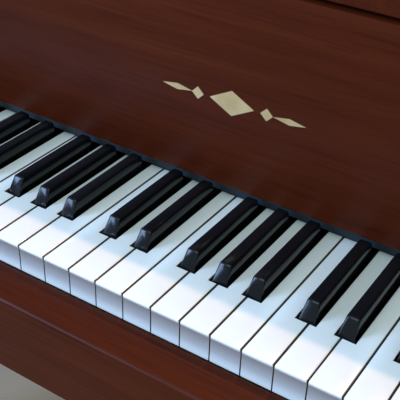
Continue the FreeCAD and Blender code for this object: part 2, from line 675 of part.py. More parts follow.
# ---- strings and plate ---------------------------------------------------------------------------
def string_slope(note):
    """Sideways travel of a string for each millimetre toward the tail."""
    if note < BASS_NOTES:
        return math.tan(math.radians(BASS_ANGLE))
    share = (note - BASS_NOTES) / (NOTE_COUNT - 1 - BASS_NOTES)
    return math.tan(math.radians(TENOR_ANGLE + (TREBLE_ANGLE - TENOR_ANGLE) * math.sqrt(share)))


def string_radius(note):
    return WOUND_RADIUS if note < BASS_NOTES else PLAIN_RADIUS


def pin_row(note):
    return PIN_ROWS[int(note) % len(PIN_ROWS)]


def string_at(note, y):
    """X of a note's line, which runs through its tuning pin, at a distance y behind the key fronts."""
    low = int(note)
    x = note_x(low) if note == low else (note_x(low) + note_x(low + 1)) / 2
    return x + string_slope(note) * (y - DAMPER_Y)


def wire_at(note, y):
    """X of a string, which passes beside its tuning pin."""
    return string_at(note, y) + PIN_RADIUS + string_radius(note)


def hitch_y(note, face):
    """Y, behind the key fronts, where a string's line leaves the given face."""
    start = PLATE_WEB_END
    reach = LENGTH
    line = Part.makeLine(V(string_at(note, start), ky(start), 0),
                         V(string_at(note, start + reach), ky(start + reach), 0))
    inside = line.common(face)
    return max(v.Y for v in inside.Vertexes) - KEY_FRONT


def bridge_y(note, face):
    """Y, behind the key fronts, where a note's string crosses its bridge."""
    share = (note - BASS_NOTES) / (NOTE_COUNT - 1 - BASS_NOTES)
    share = TENOR_BRIDGE_SHARE + (TREBLE_BRIDGE_SHARE - TENOR_BRIDGE_SHARE) * share
    if note < BASS_NOTES:
        share = BASS_BRIDGE_SHARE
    y = HAMMER_Y + (hitch_y(note, face) - HAMMER_Y) * share
    return max(y, BELLY_Y + BELLY_THICKNESS + BRIDGE_WIDTH)


def string_end(note):
    """Y, behind the key fronts, of a string's hitch pin."""
    if note < BASS_NOTES:
        return hitch_y(note, case_face(RIM_THICKNESS + PLATE_MARGIN / 2, ky(PLATE_FRONT)))
    return bridge_y(note, plate_opening_face()) + BACK_LENGTH


def plate_opening_face():
    return case_face(RIM_THICKNESS + PLATE_MARGIN, ky(PLATE_FRONT))


def make_strings():
    """The plain wires and the wound bass wires, from tuning pin to hitch pin."""
    plain, wound = [], []
    for note in range(NOTE_COUNT):
        bass = note < BASS_NOTES
        level = WOUND_Z if bass else PLAIN_Z
        y0, y1 = pin_row(note), string_end(note)
        wire = cylinder(string_radius(note), (wire_at(note, y0), ky(y0), kz(level)),
                        (wire_at(note, y1), ky(y1), kz(level)))
        (wound if bass else plain).append(wire)
    return plain, wound


def make_tuning_pins():
    """The pins start below the plate, so that their holes and seats line up."""
    pins = []
    for note in range(NOTE_COUNT):
        y = pin_row(note)
        x = string_at(note, y)
        pins.append(cylinder(PIN_RADIUS, (x, ky(y), kz(PIN_FOOT)), (x, ky(y), kz(PIN_TOP))))
    return pins


def make_struts(high):
    """Bars over the strings' breaks, with a foot at each end down to the plate."""
    low = kz(PLATE_BOTTOM)
    inside = case_prism(RIM_THICKNESS + FIT, ky(PLATE_WEB_END) - PAST, low, kz(STRUT_TOP))
    half = STRUT_WIDTH / 2
    struts = []
    for note in STRUT_NOTES:
        between = note + 0.5
        y0, y1 = PLATE_WEB_END - PAST, hitch_y(between, plate_opening_face()) + PLATE_MARGIN / 2
        foot = y0 + 2 * PAST
        heel = hitch_y(between, plate_opening_face()) - PAST
        for a, b, bottom in ((y0, y1, kz(PLAIN_Z + STRUT_CLEAR)), (y0, foot, high), (heel, y1, high)):
            x0, x1 = wire_at(between, a), wire_at(between, b)
            bar = prism_z([(x0 - half, ky(a)), (x0 + half, ky(a)), (x1 + half, ky(b)), (x1 - half, ky(b))],
                          bottom, kz(STRUT_TOP))
            struts.append(bar.common(inside))
    return struts


def make_plate():
    low, high = kz(PLATE_BOTTOM), kz(PLATE_BOTTOM + PLATE_THICKNESS)
    inset = RIM_THICKNESS + FIT
    plate = case_prism(inset, ky(PLATE_FRONT), low, high)
    opening = case_prism(inset + PLATE_MARGIN, ky(PLATE_WEB_END), low - PAST, high + PAST)
    seat_front = ky(BELLY_Y) + BELLY_THICKNESS
    seat = case_prism(inset, seat_front, kz(SOUNDBOARD_BOTTOM + SOUNDBOARD_THICKNESS), low)
    seat = seat.cut(case_prism(inset + INNER_RIM_THICKNESS, seat_front - PAST, RIM_BOTTOM, high))
    hitches = [V(wire_at(note, string_end(note)), ky(string_end(note)), 0) for note in PLAIN_GUIDES]
    spine_side = hitches[0] + (hitches[0] - hitches[1]).normalize() * 3 * PLATE_MARGIN
    rail = curved_bar([spine_side] + hitches, HITCH_RAIL, low, high)
    inside = case_prism(inset, ky(PLATE_WEB_END), low, high)
    plate = fuse([plate.cut(opening), seat, rail.common(inside)] + make_struts(high))
    holes = [cylinder(PIN_RADIUS + RUNNING_FIT, (string_at(note, pin_row(note)), ky(pin_row(note)), low - PAST),
                      (string_at(note, pin_row(note)), ky(pin_row(note)), high + PAST)) for note in range(NOTE_COUNT)]
    return plate.cut(Part.makeCompound(holes))


def make_pin_block():
    top = kz(PLATE_BOTTOM)
    block = box(-INNER_HALF, INNER_HALF, ky(PLATE_FRONT), ky(PIN_BLOCK_END), top - PIN_BLOCK_THICKNESS, top)
    return block.cut(Part.makeCompound(make_tuning_pins()))


def make_soundboard():
    bottom = kz(SOUNDBOARD_BOTTOM)
    front = ky(BELLY_Y)
    board = case_prism(RIM_THICKNESS + FIT, front, bottom, bottom + SOUNDBOARD_THICKNESS)
    inset = RIM_THICKNESS + INNER_RIM_THICKNESS + FIT
    inside = case_prism(inset, front + BELLY_THICKNESS + 2, bottom - RIB_HEIGHT, bottom)
    ribs = []
    for index in range(RIB_COUNT):
        y = front + 2 * BELLY_THICKNESS + index * (BACK - front - 4 * BELLY_THICKNESS) / (RIB_COUNT - 1)
        rib = box(-WIDTH, WIDTH, -RIB_WIDTH / 2, RIB_WIDTH / 2, bottom - RIB_HEIGHT, bottom)
        rib.rotate(V(0, 0, 0), V(0, 0, 1), 12)
        rib.translate(V(-HALF / 3, y, 0))
        ribs += [solid for solid in rib.common(inside).Solids if solid.Volume > RIB_WIDTH * RIB_HEIGHT * 100]
    return fuse([board] + ribs)


def curved_bar(centres, width, bottom, top):
    """An upright bar whose middle runs smoothly through the given points."""
    spine = Part.BSplineCurve()
    spine.interpolate(centres)
    sides = []
    for side in (-1, 1):
        points = []
        for centre in centres:
            tangent = spine.tangent(spine.parameter(centre))[0]
            points.append(centre + V(-tangent.y, tangent.x, 0) * side * width / 2)
        curve = Part.BSplineCurve()
        curve.interpolate(points)
        sides.append(curve)
    ends = [Part.LineSegment(sides[0].StartPoint, sides[1].StartPoint),
            Part.LineSegment(sides[0].EndPoint, sides[1].EndPoint)]
    wire = Part.Wire(Part.__sortEdges__([edge.toShape() for edge in sides + ends]))
    bar = Part.Face(wire)
    bar.translate(V(0, 0, bottom))
    return bar.extrude(V(0, 0, top - bottom))


def make_bridges():
    """The long curved bridge of the plain strings, and the raised bridge of the bass strings."""
    bottom = kz(SOUNDBOARD_BOTTOM + SOUNDBOARD_THICKNESS)
    inside = case_prism(RIM_THICKNESS + PLATE_MARGIN + SHIFT_CLEAR, ky(PLATE_FRONT), bottom, LID_BOTTOM)
    bars = []
    for guides, level in ((PLAIN_GUIDES, PLAIN_Z), (WOUND_GUIDES, WOUND_Z)):
        places = [bridge_y(note, plate_opening_face()) for note in guides]
        centres = [V(wire_at(note, y), ky(y), 0) for note, y in zip(guides, places)]
        top = kz(level - string_radius(guides[0]) - BRIDGE_GAP)
        bars.append(curved_bar(centres, BRIDGE_WIDTH, bottom, top).common(inside))
    return bars


# ---- lid -------------------------------------------------------------------------------------------
def make_lids():
    """The main lid and the front flap, cut from one board along the split."""
    lid = case_prism(-LID_OVERHANG, ky(LID_FRONT), LID_BOTTOM, LID_TOP)
    lid = lid.common(box(-HALF, WIDTH, FRONT, LENGTH, LID_BOTTOM, LID_TOP))
    split = ky(LID_SPLIT)
    flap = lid.common(box(-WIDTH, WIDTH, FRONT, split - SPLIT_GAP, LID_BOTTOM, LID_TOP))
    main = lid.common(box(-WIDTH, WIDTH, split, LENGTH, LID_BOTTOM, LID_TOP))
    return main, flap


def barrel(radius, bore, start, end):
    return cylinder(radius, start, end).cut(cylinder(bore, start, end))


def lid_hinge_axis():
    return -HALF - HINGE_RADIUS, RIM_TOP + LID_GAP / 2


def make_lid_hinges():
    """Case halves, with the pins, and lid halves of the spine hinges."""
    x, z = lid_hinge_axis()
    third = HINGE_LENGTH / 3
    case_halves, lid_halves = [], []
    for share in HINGE_SHARES:
        y0 = share * LENGTH - HINGE_LENGTH / 2
        y1 = y0 + HINGE_LENGTH
        inner = (y0 + third + FIT, y1 - third - FIT)
        knuckle = cylinder(HINGE_RADIUS, (x, inner[0], z), (x, inner[1], z))
        pin = cylinder(HINGE_PIN, (x, y0, z), (x, y1, z))
        leaf = box(-HALF - HINGE_LEAF, -HALF, inner[0], inner[1], z - HINGE_DROP, z)
        case_halves.append(fuse([knuckle, pin, leaf]))
        for a, b in ((y0, y0 + third), (y1 - third, y1)):
            ring = barrel(HINGE_RADIUS, HINGE_PIN + RUNNING_FIT, (x, a, z), (x, b, z))
            plate = box(-HALF - HINGE_LEAF, -HALF, a, b, z + HINGE_LEAF, LID_BOTTOM + HINGE_RISE)
            plate = plate.cut(cylinder(HINGE_PIN + RUNNING_FIT, (x, a, z), (x, b, z)))
            lid_halves.append(fuse([ring, plate]))
    return case_halves, lid_halves


def make_flap_hinges():
    """Main lid halves, with the pins, and flap halves of the hinges on top of the lid."""
    y, z = ky(LID_SPLIT) - SPLIT_GAP / 2, LID_TOP + FLAP_HINGE_RADIUS
    third = HINGE_LENGTH / 3
    main_halves, flap_halves = [], []
    for share in FLAP_HINGE_SHARES:
        x0 = share * WIDTH - HINGE_LENGTH / 2
        x1 = x0 + HINGE_LENGTH
        a, b = x0 + third + FIT, x1 - third - FIT
        knuckle = cylinder(FLAP_HINGE_RADIUS, (a, y, z), (b, y, z))
        pin = cylinder(FLAP_HINGE_PIN, (x0, y, z), (x1, y, z))
        leaf = box(a, b, y + SPLIT_GAP, y + FLAP_LEAF, LID_TOP, LID_TOP + HINGE_LEAF)
        main_halves.append(fuse([knuckle, pin, leaf]))
        for c, d in ((x0, x0 + third), (x1 - third, x1)):
            ring = barrel(FLAP_HINGE_RADIUS, FLAP_HINGE_PIN + RUNNING_FIT, (c, y, z), (d, y, z))
            plate = box(c, d, y - FLAP_LEAF, y - SPLIT_GAP, LID_TOP, LID_TOP + HINGE_LEAF)
            plate = plate.cut(cylinder(FLAP_HINGE_PIN + RUNNING_FIT, (c, y, z), (d, y, z)))
            flap_halves.append(fuse([ring, plate]))
    return main_halves, flap_halves


def prop_frame():
    """The prop's pivot, its folded direction, and the direction it rises in."""
    _, hollow, _, hollow_radius = outline_centres()
    pivot = polar(hollow, -(hollow_radius + RIM_THICKNESS + PROP_INSET), PROP_BEARING)
    pivot.z = RIM_TOP - PROP_DROP
    tip = V(INNER_HALF - PROP_TIP[0], FRONT + PROP_TIP[1], LID_BOTTOM - PROP_TIP[2])
    along = tip - pivot
    length = along.Length
    along.normalize()
    lean = math.radians(PROP_LEAN)
    rise = V(-math.sin(lean), 0, math.cos(lean))
    rise = rise - along * rise.dot(along)
    rise.normalize()
    return pivot, along, rise, length


def prop_axis():
    _, along, rise, _ = prop_frame()
    return along.cross(rise).negative()


def make_prop_bracket():
    """The prop's pin, and the stub that carries its outer end on the bentside."""
    pivot = prop_frame()[0]
    axis = prop_axis()
    hollow = outline_centres()[1]
    start, end = pivot - axis * PROP_SIZE / 2, pivot + axis * (PROP_SIZE / 2 + BRACKET_RADIUS + SHIFT_CLEAR)
    pin = Part.makeCylinder(PIVOT_RADIUS, (end - start).Length + BRACKET_RADIUS, start, axis)
    outward = V(hollow.x - end.x, hollow.y - end.y, 0)
    outward.normalize()
    stub = Part.makeCylinder(BRACKET_RADIUS, RIM_THICKNESS, end, outward)
    inside = case_prism(RIM_THICKNESS, FRONT, RIM_BOTTOM, RIM_TOP)
    return fuse([pin, stub.common(inside)])


def make_lid_prop():
    """The prop stick, bored for its pin."""
    pivot, along, rise, length = prop_frame()
    axis = prop_axis()
    half = PROP_SIZE / 2
    stick = Part.makeBox(length + PROP_HEEL, PROP_SIZE, PROP_SIZE)
    stick.translate(V(-PROP_HEEL, -half, -half))
    turn = FreeCAD.Rotation(along, axis, rise)
    stick = stick.makeFillet(half * PROP_ROUND, [edge for edge in stick.Edges
                                          if abs(edge.Vertexes[0].X - edge.Vertexes[-1].X) > half])
    stick.Placement = FreeCAD.Placement(pivot, turn)
    bore = Part.makeCylinder(PIVOT_RADIUS + RUNNING_FIT, 2 * PROP_SIZE, pivot - axis * PROP_SIZE, axis)
    return stick.cut(bore)


def make_prop_cup():
    """The cup under the lid where the raised prop bears."""
    pivot, along, rise, length = prop_frame()
    swing = math.radians(PROP_SWING)
    tip = pivot + (along * math.cos(swing) + rise * math.sin(swing)) * length
    x, z = lid_hinge_axis()
    back = math.radians(LID_SWING)
    dx, dz = tip.x - x, tip.z - z
    rest_x = x + dx * math.cos(back) + dz * math.sin(back)
    return cylinder(CUP_RADIUS, (rest_x, tip.y, LID_BOTTOM - CUP_HEIGHT), (rest_x, tip.y, LID_BOTTOM))


# ---- under-structure ---------------------------------------------------------------------------------
def make_leg(x, y, top):
    def section(half, z):
        points = [V(x - half, y - half, z), V(x + half, y - half, z),
                  V(x + half, y + half, z), V(x - half, y + half, z)]
        return Part.makePolygon(points + points[:1])

    half, shoulder = LEG_TOP / 2, top - LEG_HEAD
    head = box(x - half, x + half, y - half, y + half, shoulder, top)
    shaft = Part.makeLoft([section(LEG_FOOT / 2, LEG_END), section(half - LEG_SHOULDER, shoulder)], True, True)
    bore = cylinder(STEM_RADIUS + RUNNING_FIT, (x, y, LEG_END - PAST), (x, y, LEG_END + STEM_LENGTH + FIT))
    return fuse([head, shaft]).cut(bore)


def make_caster(x, y):
    """Fork with its stem and axle, and the wheel, trailing behind the stem."""
    axle_y = y + FORK_TRAIL
    inner = WHEEL_WIDTH / 2 + FORK_GAP
    crown_low = 2 * WHEEL_RADIUS + FORK_CLEAR
    cheek_back = axle_y + FORK_CHEEK
    crown = box(x - inner - FORK_THICKNESS, x + inner + FORK_THICKNESS, y - FORK_FRONT, cheek_back, crown_low,
                crown_low + FORK_CROWN)
    neck = cylinder(STEM_RADIUS + COLLAR, (x, y, crown_low + FORK_CROWN), (x, y, LEG_END - COLLAR_GAP))
    stem = cylinder(STEM_RADIUS, (x, y, crown_low), (x, y, LEG_END + STEM_LENGTH))
    axle = cylinder(AXLE_RADIUS, (x - inner - FORK_THICKNESS, axle_y, WHEEL_RADIUS),
                    (x + inner + FORK_THICKNESS, axle_y, WHEEL_RADIUS))
    pieces = [crown, neck, stem, axle]
    for side in (-1, 1):
        x0, x1 = sorted((x + side * inner, x + side * (inner + FORK_THICKNESS)))
        pieces.append(box(x0, x1, axle_y - FORK_CHEEK, cheek_back, WHEEL_RADIUS - FORK_TAIL, crown_low))
    wheel = cylinder(WHEEL_RADIUS, (x - WHEEL_WIDTH / 2, axle_y, WHEEL_RADIUS),
                     (x + WHEEL_WIDTH / 2, axle_y, WHEEL_RADIUS))
    wheel = wheel.makeFillet(TYRE_ROUND, [edge for edge in wheel.Edges if len(edge.Vertexes) == 1])
    wheel = wheel.cut(cylinder(AXLE_RADIUS + RUNNING_FIT, (x - WHEEL_WIDTH, axle_y, WHEEL_RADIUS),
                               (x + WHEEL_WIDTH, axle_y, WHEEL_RADIUS)))
    return fuse(pieces), wheel


def pedal_axis_y():
    return LYRE_Y + LYRE_BOX[1] / 4


def make_lyre():
    width, depth, height = LYRE_BOX
    bottom = LYRE_BOX_BOTTOM
    y = LYRE_Y
    case = box(-width / 2, width / 2, y - depth / 2, y + depth / 2, bottom, bottom + height)
    slot_half = PEDAL_WIDTH / 2 + SLOT_SIDE
    for index in (-1, 0, 1):
        x = index * PEDAL_PITCH
        case = case.cut(box(x - slot_half, x + slot_half, y - depth, y + depth / 2 - SLOT_WALL,
                            PEDAL_AXIS_Z - SLOT_UNDER, PEDAL_AXIS_Z + SLOT_OVER))
    end = width / 2 - AXLE_INSET
    axle = cylinder(AXLE_RADIUS, (-end, pedal_axis_y(), PEDAL_AXIS_Z), (end, pedal_axis_y(), PEDAL_AXIS_Z))
    top_w, top_d, top_h = LYRE_TOP_BLOCK
    cap = box(-top_w / 2, top_w / 2, y - top_d / 2, y + top_d / 2, KEYBED_BOTTOM - top_h, KEYBED_BOTTOM)
    posts = [cylinder(LYRE_POST / 2, (side * LYRE_POST_X, y, bottom + height - FIT),
                      (side * LYRE_POST_X, y, KEYBED_BOTTOM - top_h + FIT)) for side in (-1, 1)]
    return fuse([case, axle, cap] + posts)


def make_lyre_braces():
    back = LYRE_Y + LYRE_BOX[1] / 2
    z0 = LYRE_BOX_BOTTOM + LYRE_BOX[2] * ROD_HEIGHT
    y1, z1 = LYRE_Y + ROD_REACH, KEYBED_BOTTOM + ROD_SEAT
    rods = []
    limit = box(-WIDTH, WIDTH, back, LENGTH, 0, KEYBED_BOTTOM)
    for side in (-1, 1):
        x = side * LYRE_BOX[0] * ROD_SPREAD
        rods.append(cylinder(ROD_RADIUS, (x, back - ROD_RADIUS, z0), (x, y1, z1)).common(limit))
    return rods


def make_pedal(index):
    x = index * PEDAL_PITCH
    front = LYRE_Y - LYRE_BOX[1] / 2 - PEDAL_REACH
    y, z = pedal_axis_y(), PEDAL_AXIS_Z
    half, toe = PEDAL_WIDTH / 2, PEDAL_TOE / 2
    low = z - PEDAL_THICKNESS / 2
    heel, neck, ball = y + PEDAL_HEEL, front + PEDAL_NECK, front + PEDAL_BALL
    plan = [(x - half, heel), (x - half, neck), (x - toe, ball), (x - toe + PEDAL_CORNER, front),
            (x + toe - PEDAL_CORNER, front), (x + toe, ball), (x + half, neck), (x + half, heel)]
    lever = prism_z(plan, low, low + PEDAL_THICKNESS)
    hub = cylinder(AXLE_RADIUS + HUB_WALL, (x - half, y, z), (x + half, y, z))
    bore = cylinder(AXLE_RADIUS + RUNNING_FIT, (x - half - PAST, y, z), (x + half + PAST, y, z))
    return fuse([lever, hub]).cut(bore)


# ---- all nodes -----------------------------------------------------------------------------------------
os.makedirs("parts", exist_ok=True)
save("rim", make_rim())
save("inner_rim", make_inner_rim())
save("braces", make_braces())
save("keybed", box(-INNER_HALF, INNER_HALF, ky(KEYBED_FRONT), ky(BELLY_Y), KEYBED_BOTTOM, KEYBED_TOP))
save("key_blocks", *make_key_blocks())
save("key_slip", make_key_slip())
save("name_rail", box(-INNER_HALF, INNER_HALF, ky(NAME_RAIL_FRONT), ky(NAME_RAIL_FRONT + NAME_RAIL_DEPTH),
                      kz(NAME_RAIL_BOTTOM), kz(NAME_RAIL_TOP)))
save("fallboard", make_fallboard())
save("fallboard_inlay", *make_inlay())
save("cover_pivots", *make_cover_pivots(), make_prop_bracket())
for node, solids in make_keys().items():
    save(node, *solids)
save("key_frame", make_key_frame())
save("action_frame", make_action_frame())
save("hammers", *make_hammers())
save("dampers", make_dampers())
save("soundboard", make_soundboard())
save("bridges", *make_bridges())
save("iron_plate", make_plate())
save("pin_block", make_pin_block())
save("tuning_pins", *make_tuning_pins())
plain_wires, wound_wires = make_strings()
save("strings_plain", *plain_wires)
save("strings_wound", *wound_wires)
save("desk_shelf", box(-INNER_HALF, INNER_HALF, ky(SHELF_FRONT), ky(SHELF_END), kz(SHELF_BOTTOM),
                       kz(SHELF_BOTTOM) + SHELF_THICKNESS))
save("music_desk", make_music_desk())
main_lid, front_flap = make_lids()
save("lid_main", main_lid)
save("lid_flap", front_flap)
case_leaves, lid_leaves = make_lid_hinges()
save("lid_hinges_case", *case_leaves)
save("lid_hinges_lid", *lid_leaves)
main_leaves, flap_leaves = make_flap_hinges()
save("flap_hinges_main", *main_leaves)
save("flap_hinges_flap", *flap_leaves)
save("lid_prop", make_lid_prop())
save("prop_cup", make_prop_cup())
save("front_legs", *[make_leg(x, FRONT_LEG_Y, KEYBED_BOTTOM) for x in (-FRONT_LEG_X, FRONT_LEG_X)])
save("rear_leg", make_leg(REAR_LEG_X, REAR_LEG_Y, RIM_BOTTOM))
for place, (leg_x, leg_y) in {"left": (-FRONT_LEG_X, FRONT_LEG_Y), "right": (FRONT_LEG_X, FRONT_LEG_Y),
                              "rear": (REAR_LEG_X, REAR_LEG_Y)}.items():
    fork, wheel = make_caster(leg_x, leg_y)
    save("caster_fork_" + place, fork)
    save("caster_wheel_" + place, wheel)
save("lyre", make_lyre())
save("lyre_braces", *make_lyre_braces())
for name, index in (("pedal_soft", -1), ("pedal_sostenuto", 0), ("pedal_damper", 1)):
    save(name, make_pedal(index))
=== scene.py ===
"""Baby grand piano in satin mahogany: eased edges, finishes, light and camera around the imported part."""

import json
import math

import bpy
from mathutils import Matrix, Vector

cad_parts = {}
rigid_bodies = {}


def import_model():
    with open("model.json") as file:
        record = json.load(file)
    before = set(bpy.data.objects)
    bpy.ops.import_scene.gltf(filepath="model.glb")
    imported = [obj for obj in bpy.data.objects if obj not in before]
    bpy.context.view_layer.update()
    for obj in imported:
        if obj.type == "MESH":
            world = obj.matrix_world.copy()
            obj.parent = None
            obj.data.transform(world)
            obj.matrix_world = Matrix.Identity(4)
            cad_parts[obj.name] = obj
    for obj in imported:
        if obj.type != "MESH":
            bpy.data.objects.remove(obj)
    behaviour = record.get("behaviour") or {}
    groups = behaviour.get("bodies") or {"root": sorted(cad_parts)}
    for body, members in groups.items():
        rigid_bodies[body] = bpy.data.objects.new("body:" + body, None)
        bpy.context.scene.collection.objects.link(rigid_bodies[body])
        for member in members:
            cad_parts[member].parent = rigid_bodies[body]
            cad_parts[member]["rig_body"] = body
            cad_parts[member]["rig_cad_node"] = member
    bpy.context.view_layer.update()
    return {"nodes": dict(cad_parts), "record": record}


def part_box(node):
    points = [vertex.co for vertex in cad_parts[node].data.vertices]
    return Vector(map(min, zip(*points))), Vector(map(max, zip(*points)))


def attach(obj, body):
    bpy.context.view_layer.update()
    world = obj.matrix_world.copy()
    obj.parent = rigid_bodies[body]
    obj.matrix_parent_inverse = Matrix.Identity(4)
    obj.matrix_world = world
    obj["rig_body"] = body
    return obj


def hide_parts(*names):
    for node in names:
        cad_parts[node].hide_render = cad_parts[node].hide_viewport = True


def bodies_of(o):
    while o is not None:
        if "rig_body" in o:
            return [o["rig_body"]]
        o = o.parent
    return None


MM = 0.001
NEAR = 0.1 * MM                                 # how close counts as on a face
WELD = 0.01 * MM                                # loose corners joined within this distance
FLAT_ANGLE = math.radians(0.5)                  # faces merged below this angle
HARD_ANGLE = math.radians(35)                   # edges eased above this angle
SMOOTH_ANGLE = math.radians(40)                 # faces shaded smooth below this angle

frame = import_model()
slot_of = {part["node"]: part["material_slot"] for part in frame["record"]["subparts"]}
body_of = {node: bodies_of(item)[0] for node, item in frame["nodes"].items()}


# ---- node helpers ------------------------------------------------------------------------------
def finish(name, **constants):
    """A new material with constants on its shader's sockets; gives the material, its tree and shader."""
    material = bpy.data.materials.new(name)
    material.use_nodes = True
    shader = material.node_tree.nodes["Principled BSDF"]
    for socket, value in constants.items():
        shader.inputs[socket.replace("_", " ")].default_value = value
    return material, material.node_tree, shader


def spread(tree, scale):
    """Object coordinates, multiplied along each axis."""
    coordinates = tree.nodes.new("ShaderNodeTexCoord")
    mapping = tree.nodes.new("ShaderNodeMapping")
    mapping.inputs["Scale"].default_value = scale
    tree.links.new(coordinates.outputs["Object"], mapping.inputs["Vector"])
    return mapping.outputs["Vector"]


def noise(tree, vector, scale, detail=3.0, distortion=0.0):
    """A soft random value between 0 and 1."""
    node = tree.nodes.new("ShaderNodeTexNoise")
    node.inputs["Scale"].default_value = scale
    node.inputs["Detail"].default_value = detail
    node.inputs["Distortion"].default_value = distortion
    tree.links.new(vector, node.inputs["Vector"])
    return node.outputs["Fac"]


def ramp(tree, value, *stops):
    """Colours over a value, each stop a place and a colour."""
    node = tree.nodes.new("ShaderNodeValToRGB")
    while len(node.color_ramp.elements) < len(stops):
        node.color_ramp.elements.new(1.0)
    for element, (place, colour) in zip(node.color_ramp.elements, stops):
        element.position = place
        element.color = (*colour, 1.0)
    tree.links.new(value, node.inputs["Fac"])
    return node.outputs["Color"]


def span(tree, value, low, high, start=0.3, end=0.7):
    """A value from start to end stretched over low to high."""
    node = tree.nodes.new("ShaderNodeMapRange")
    for socket, number in (("From Min", start), ("From Max", end), ("To Min", low), ("To Max", high)):
        node.inputs[socket].default_value = number
    tree.links.new(value, node.inputs["Value"])
    return node.outputs["Result"]


def times(tree, first, second, share=1.0):
    """Two colours multiplied."""
    node = tree.nodes.new("ShaderNodeMix")
    node.data_type = "RGBA"
    node.blend_type = "MULTIPLY"
    node.inputs["Factor"].default_value = share
    tree.links.new(first, node.inputs["A"])
    tree.links.new(second, node.inputs["B"])
    return node.outputs["Result"]


def raised(tree, shader, height, strength, distance):
    """Gives the shader a fine relief that follows a value."""
    node = tree.nodes.new("ShaderNodeBump")
    node.inputs["Strength"].default_value = strength
    node.inputs["Distance"].default_value = distance
    tree.links.new(height, node.inputs["Height"])
    tree.links.new(node.outputs["Normal"], shader.inputs["Normal"])


# ---- finishes ----------------------------------------------------------------------------------
ALONG = 0.035                                   # how much slower a pattern changes along the grain
GRAIN = {"x": (ALONG, 1, 1), "y": (1, ALONG, 1), "z": (1, 1, ALONG), "round": (ALONG, ALONG, 1)}


def mahogany(run):
    """Satin lacquered mahogany with its grain along one axis, or round the case."""
    material, tree, shader = finish("mahogany_" + run, Specular_IOR_Level=0.09)
    grain = spread(tree, GRAIN[run])
    figure = ramp(tree, noise(tree, grain, 70, 5, 0.4), (0.25, (0.052, 0.0078, 0.0022)),
                  (0.5, (0.061, 0.0098, 0.0028)), (0.75, (0.072, 0.013, 0.004)))
    streaks = ramp(tree, noise(tree, grain, 420, 3), (0.3, (0.74, 0.7, 0.68)), (0.5, (1, 1, 1)),
                   (0.8, (1.08, 1.07, 1.06)))
    patches = ramp(tree, noise(tree, spread(tree, (1, 1, 1)), 3.5, 2), (0.3, (0.82, 0.8, 0.78)),
                   (0.7, (1.12, 1.12, 1.12)))
    colour = times(tree, times(tree, figure, streaks), patches)
    tree.links.new(colour, shader.inputs["Base Color"])
    pores = noise(tree, grain, 900, 2)
    tree.links.new(span(tree, pores, 0.42, 0.32), shader.inputs["Roughness"])
    raised(tree, shader, pores, 0.06, 0.0003)
    return material


def plain_wood(name, run, dark, light, roughness):
    """Bare or thinly varnished timber: rings as soft lines along the grain."""
    material, tree, shader = finish(name, Specular_IOR_Level=0.35)
    grain = spread(tree, GRAIN[run])
    lines = ramp(tree, noise(tree, grain, 130, 4, 0.3), (0.3, dark), (0.6, light))
    fibres = ramp(tree, noise(tree, grain, 900, 2), (0.3, (0.85, 0.83, 0.8)), (0.6, (1, 1, 1)))
    tree.links.new(times(tree, lines, fibres), shader.inputs["Base Color"])
    tree.links.new(span(tree, noise(tree, grain, 500, 2), roughness - 0.08, roughness + 0.08),
                   shader.inputs["Roughness"])
    raised(tree, shader, noise(tree, grain, 700, 2), 0.12, 0.0003)
    return material


def metal(name, dark, light, rough_low, rough_high, size, metallic=1.0, depth=0.0002):
    """Metal or metallic lacquer, cloudy in tone and polish."""
    material, tree, shader = finish(name, Metallic=metallic)
    place = spread(tree, (1, 1, 1))
    clouds = noise(tree, place, size, 4)
    tree.links.new(ramp(tree, clouds, (0.3, dark), (0.7, light)), shader.inputs["Base Color"])
    tree.links.new(span(tree, noise(tree, place, size * 2.5, 3), rough_low, rough_high),
                   shader.inputs["Roughness"])
    raised(tree, shader, noise(tree, place, size * 12, 2), 0.1, depth)
    return material


def plastic(name, dark, light, rough_low, rough_high, coat, gloss):
    """Moulded key covering, with the faint waviness of a buffed surface."""
    material, tree, shader = finish(name, Coat_Weight=coat, Coat_Roughness=0.06, Specular_IOR_Level=gloss)
    place = spread(tree, (1, 1, 1))
    tree.links.new(ramp(tree, noise(tree, place, 14, 3), (0.3, dark), (0.7, light)),
                   shader.inputs["Base Color"])
    tree.links.new(span(tree, noise(tree, place, 160, 4), rough_low, rough_high), shader.inputs["Roughness"])
    raised(tree, shader, noise(tree, place, 220, 2), 0.05, 0.0002)
    return material


def felt(name, dark, light):
    """Dense woollen felt with a short nap."""
    material, tree, shader = finish(name, Roughness=0.95, Sheen_Weight=0.3, Sheen_Roughness=0.5,
                                    Specular_IOR_Level=0.15)
    place = spread(tree, (1, 1, 1))
    nap = noise(tree, place, 1300, 4, 0.4)
    tree.links.new(ramp(tree, nap, (0.3, dark), (0.7, light)), shader.inputs["Base Color"])
    raised(tree, shader, nap, 0.5, 0.0006)
    return material


def winding(name, dark, light):
    """Copper wire wound round a steel core: fine ridges across the string."""
    material, tree, shader = finish(name, Metallic=1.0, Roughness=0.36)
    wave = tree.nodes.new("ShaderNodeTexWave")
    wave.bands_direction = "Y"
    wave.inputs["Scale"].default_value = 260
    wave.inputs["Distortion"].default_value = 0.4
    tree.links.new(spread(tree, (1, 1, 1)), wave.inputs["Vector"])
    tree.links.new(ramp(tree, wave.outputs["Fac"], (0.1, dark), (0.7, light)), shader.inputs["Base Color"])
    raised(tree, shader, wave.outputs["Fac"], 0.4, 0.0002)
    return material


